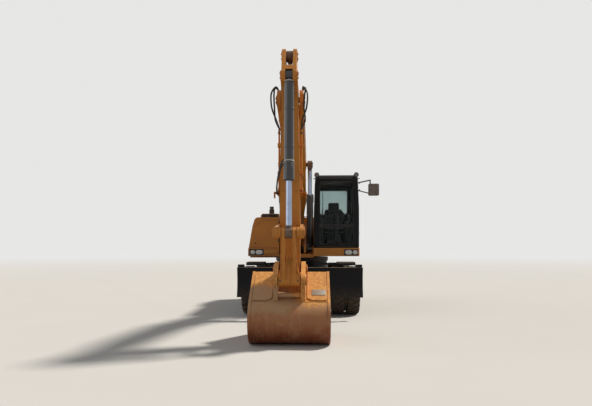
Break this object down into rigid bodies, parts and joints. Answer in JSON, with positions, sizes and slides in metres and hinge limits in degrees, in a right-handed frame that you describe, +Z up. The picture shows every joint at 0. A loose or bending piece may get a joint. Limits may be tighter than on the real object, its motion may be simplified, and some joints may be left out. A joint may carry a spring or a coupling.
{
  "type": "wheeled excavator",
  "caption": "Wheeled excavator with twin tyres, front dozer blade, cab, one-piece boom, stick and curled bucket; the arm, blade, wheels, upper body and doors all move.",
  "frame": {"origin": "on the ground under the middle of the machine's footprint", "axes": "+X forward along the arm, +Y to the machine's left, the cab side, +Z up"},
  "size_m": [7.235, 2.975, 4.398],
  "materials": {
    "yellow_paint": "satin",
    "black_paint": "satin",
    "bucket_paint": "matte",
    "cylinder_paint": "gloss",
    "chrome_rod": "polished",
    "cast_metal": "matte",
    "worn_steel": "worn",
    "tyre_rubber": "matte",
    "hose_rubber": "matte",
    "glass": "gloss",
    "seat_fabric": "matte",
    "black_plastic": "matte",
    "lamp_plastic": "gloss"
  },
  "bodies": {
    "chassis": {"chassis_frame": "black_paint", "swing_ring": "cast_metal", "front_axle": "black_paint", "rear_axle": "black_paint", "tool_boxes": "black_paint", "front_fenders": "black_paint"},
    "knuckle_left": {"knuckle_left": "black_paint"},
    "knuckle_right": {"knuckle_right": "black_paint"},
    "wheels_front_left": {"rims_front_left": "black_paint", "tyres_front_left": "tyre_rubber"},
    "wheels_front_right": {"rims_front_right": "black_paint", "tyres_front_right": "tyre_rubber"},
    "wheels_rear_left": {"rims_rear_left": "black_paint", "tyres_rear_left": "tyre_rubber"},
    "wheels_rear_right": {"rims_rear_right": "black_paint", "tyres_rear_right": "tyre_rubber"},
    "blade_arms": {"blade_arms": "black_paint"},
    "blade_links": {"blade_links": "black_paint"},
    "dozer_blade": {"dozer_blade": "black_paint"},
    "blade_barrels": {"blade_barrels": "cylinder_paint"},
    "blade_rods": {"blade_rods": "chrome_rod"},
    "upper": {"upper_frame": "yellow_paint", "counterweight": "yellow_paint", "engine_housing": "yellow_paint", "engine_block": "cast_metal", "exhaust_stack": "black_paint", "right_body": "yellow_paint", "cab_platform": "yellow_paint", "work_lamps": "lamp_plastic", "cab_shell": "black_paint", "cab_glass": "glass", "seat": "seat_fabric", "console": "black_plastic", "cab_mirror": "black_paint"},
    "engine_hood": {"engine_hood": "yellow_paint"},
    "service_door": {"service_door": "yellow_paint"},
    "cab_door": {"cab_door": "black_paint", "door_glass": "glass"},
    "boom": {"boom": "yellow_paint", "boom_pipes": "yellow_paint", "arm_hoses": "hose_rubber"},
    "lift_barrels": {"lift_barrels": "cylinder_paint"},
    "lift_rods": {"lift_rods": "chrome_rod"},
    "stick": {"stick": "yellow_paint", "stick_pipes": "yellow_paint"},
    "stick_barrel": {"stick_barrel": "cylinder_paint"},
    "stick_rod": {"stick_rod": "chrome_rod"},
    "bucket_barrel": {"bucket_barrel": "cylinder_paint"},
    "bucket_rod": {"bucket_rod": "chrome_rod"},
    "idler_links": {"idler_links": "yellow_paint"},
    "power_link": {"power_link": "yellow_paint"},
    "bucket": {"bucket": "bucket_paint", "bucket_teeth": "worn_steel"}
  },
  "joints": [
    {"name": "swing", "type": "hinge", "parent": "chassis", "child": "upper", "pos_m": [-1.4175, -0.2275, 1.224], "axis": [0, 0, 1], "continuous": true},
    {"name": "steer_left", "type": "hinge", "parent": "chassis", "child": "knuckle_left", "pos_m": [-0.1675, 0.3725, 0.52], "axis": [0, 0, 1], "range_deg": [-28, 28]},
    {"name": "steer_right", "type": "hinge", "parent": "chassis", "child": "knuckle_right", "pos_m": [-0.1675, -0.8275, 0.52], "axis": [0, 0, 1], "range_deg": [-28, 28]},
    {"name": "wheel_front_left", "type": "hinge", "parent": "knuckle_left", "child": "wheels_front_left", "pos_m": [-0.1675, 0.7325, 0.52], "axis": [0, 1, 0], "continuous": true},
    {"name": "wheel_rear_left", "type": "hinge", "parent": "chassis", "child": "wheels_rear_left", "pos_m": [-2.7675, 0.7325, 0.52], "axis": [0, 1, 0], "continuous": true},
    {"name": "wheel_front_right", "type": "hinge", "parent": "knuckle_right", "child": "wheels_front_right", "pos_m": [-0.1675, -1.1875, 0.52], "axis": [0, 1, 0], "continuous": true},
    {"name": "wheel_rear_right", "type": "hinge", "parent": "chassis", "child": "wheels_rear_right", "pos_m": [-2.7675, -1.1875, 0.52], "axis": [0, 1, 0], "continuous": true},
    {"name": "boom_lift", "type": "hinge", "parent": "upper", "child": "boom", "pos_m": [-1.1675, -0.3175, 1.75], "axis": [0, -1, 0], "range_deg": [-48, 36]},
    {"name": "lift_barrel_turn", "type": "hinge", "parent": "upper", "child": "lift_barrels", "pos_m": [-0.4375, -0.3175, 1.42], "axis": [0, -1, 0], "range_deg": [-55.72, 41.91]},
    {"name": "lift_rod_slide", "type": "slide", "parent": "lift_barrels", "child": "lift_rods", "axis": [0.5502, 0, 0.8351], "range_m": [-0.591, 0.444]},
    {"name": "stick_turn", "type": "hinge", "parent": "boom", "child": "stick", "pos_m": [2.9825, -0.3175, 3.72], "axis": [0, 1, 0], "range_deg": [-88, 20], "deforming": ["arm_hoses"]},
    {"name": "stick_barrel_turn", "type": "hinge", "parent": "boom", "child": "stick_barrel", "pos_m": [0.5325, -0.3175, 3.78], "axis": [0, -1, 0], "range_deg": [-0.67, 1.25]},
    {"name": "stick_rod_slide", "type": "slide", "parent": "stick_barrel", "child": "stick_rod", "axis": [0.9827, 0, 0.1849], "range_m": [-0.892, 0.204]},
    {"name": "bucket_turn", "type": "hinge", "parent": "stick", "child": "bucket", "pos_m": [3.0325, -0.3175, 1.115], "axis": [0, -1, 0], "range_deg": [-38, 85]},
    {"name": "idler_turn", "type": "hinge", "parent": "stick", "child": "idler_links", "pos_m": [3.0325, -0.3175, 1.72], "axis": [0, -1, 0], "range_deg": [-30.52, 67.65]},
    {"name": "power_link_turn", "type": "hinge", "parent": "idler_links", "child": "power_link", "pos_m": [3.5325, -0.3175, 1.66], "axis": [0, -1, 0], "range_deg": [-57.02, 25.77]},
    {"name": "bucket_barrel_turn", "type": "hinge", "parent": "stick", "child": "bucket_barrel", "pos_m": [3.4225, -0.3175, 3.95], "axis": [0, -1, 0], "range_deg": [-4.33, 2.21]},
    {"name": "bucket_rod_slide", "type": "slide", "parent": "bucket_barrel", "child": "bucket_rod", "axis": [0.048, 0, -0.9988], "range_m": [-0.536, 0.241]},
    {"name": "blade_lower", "type": "hinge", "parent": "chassis", "child": "blade_arms", "pos_m": [0.1425, -0.2275, 0.56], "axis": [0, -1, 0], "range_deg": [-44, 0]},
    {"name": "blade_link_turn", "type": "hinge", "parent": "chassis", "child": "blade_links", "pos_m": [0.0825, -0.2275, 0.79], "axis": [0, -1, 0], "range_deg": [-44.5, 0.5]},
    {"name": "blade_tilt", "type": "hinge", "parent": "blade_arms", "child": "dozer_blade", "pos_m": [0.7225, -0.2275, 0.64], "axis": [0, -1, 0], "range_deg": [-0.5, 44.5]},
    {"name": "blade_barrel_turn", "type": "hinge", "parent": "chassis", "child": "blade_barrels", "pos_m": [0.0225, -0.2275, 0.9], "axis": [0, -1, 0], "range_deg": [-22.68, 0.5]},
    {"name": "blade_rod_slide", "type": "slide", "parent": "blade_barrels", "child": "blade_rods", "axis": [0.9097, 0, -0.4153], "range_m": [-0.002, 0.17]},
    {"name": "cab_door_turn", "type": "hinge", "parent": "upper", "child": "cab_door", "pos_m": [-1.4775, 1.0715, 2.2], "axis": [0, 0, 1], "range_deg": [0, 100]},
    {"name": "service_door_turn", "type": "hinge", "parent": "upper", "child": "service_door", "pos_m": [-2.0025, 1.0665, 1.7], "axis": [0, 0, -1], "range_deg": [0, 90]},
    {"name": "hood_turn", "type": "hinge", "parent": "upper", "child": "engine_hood", "pos_m": [-2.8835, 0.0725, 2.156], "axis": [0, -1, 0], "range_deg": [0, 55]}
  ],
  "couplings": [
    {"joint": "lift_barrel_turn", "follows": "boom_lift", "ratio": 1.1504},
    {"joint": "lift_rod_slide", "follows": "boom_lift", "m_per_rad": 0.7036},
    {"joint": "stick_barrel_turn", "follows": "stick_turn", "ratio": -0.0085},
    {"joint": "stick_rod_slide", "follows": "stick_turn", "m_per_rad": 0.5794},
    {"joint": "idler_turn", "follows": "bucket_turn", "ratio": 0.79},
    {"joint": "power_link_turn", "follows": "bucket_turn", "ratio": -0.665},
    {"joint": "bucket_barrel_turn", "follows": "bucket_turn", "ratio": -0.045},
    {"joint": "bucket_rod_slide", "follows": "bucket_turn", "m_per_rad": -0.36},
    {"joint": "steer_right", "follows": "steer_left", "ratio": 1},
    {"joint": "blade_link_turn", "follows": "blade_lower", "ratio": 1},
    {"joint": "blade_tilt", "follows": "blade_lower", "ratio": -1},
    {"joint": "blade_barrel_turn", "follows": "blade_lower", "ratio": 0.504},
    {"joint": "blade_rod_slide", "follows": "blade_lower", "m_per_rad": -0.2186}
  ]
}
